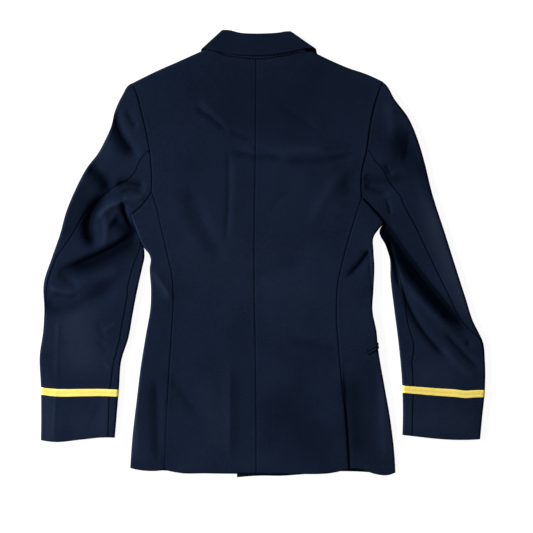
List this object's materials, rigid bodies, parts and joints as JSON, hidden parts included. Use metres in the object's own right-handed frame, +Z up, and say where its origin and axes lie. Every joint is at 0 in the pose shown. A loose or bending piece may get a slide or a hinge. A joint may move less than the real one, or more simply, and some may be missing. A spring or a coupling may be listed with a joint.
{
  "type": "naval dress jacket",
  "caption": "Double-breasted navy wool dress jacket laid flat on its front, back up, with turned-down collar, lapels, flat sleeves with gold lace and gilt buttons beneath.",
  "frame": {"origin": "centre of the jacket's bounding box in plan, on the surface that it lies on", "axes": "+Z up from the surface, +Y from the hem to the collar, +X to the wearer's right, which is the right seen from above"},
  "size_m": [0.8016, 0.8046, 0.0138],
  "materials": {
    "navy_wool": "matte wool twill",
    "navy_wool_under": "matte wool twill",
    "gold_lace": "woven metallic braid",
    "gilt_brass": "polished gilt"
  },
  "bodies": {
    "root": {"back_left": "navy_wool", "back_right": "navy_wool", "side_left": "navy_wool", "side_right": "navy_wool", "vent_left": "navy_wool_under", "vent_right": "navy_wool_under", "front_left": "navy_wool", "front_right": "navy_wool", "lapel_left": "navy_wool", "lapel_right": "navy_wool", "collar_leaf": "navy_wool", "collar_stand": "navy_wool_under", "sleeve_left_top": "navy_wool", "sleeve_left_under": "navy_wool", "sleeve_right_top": "navy_wool", "sleeve_right_under": "navy_wool", "lace_left": "gold_lace", "lace_right": "gold_lace", "jet_left_upper": "navy_wool_under", "jet_left_lower": "navy_wool_under", "jet_right_upper": "navy_wool_under", "jet_right_lower": "navy_wool_under", "button_1": "gilt_brass", "button_2": "gilt_brass", "button_3": "gilt_brass", "button_4": "gilt_brass", "button_5": "gilt_brass", "button_6": "gilt_brass"}
  },
  "joints": []
}
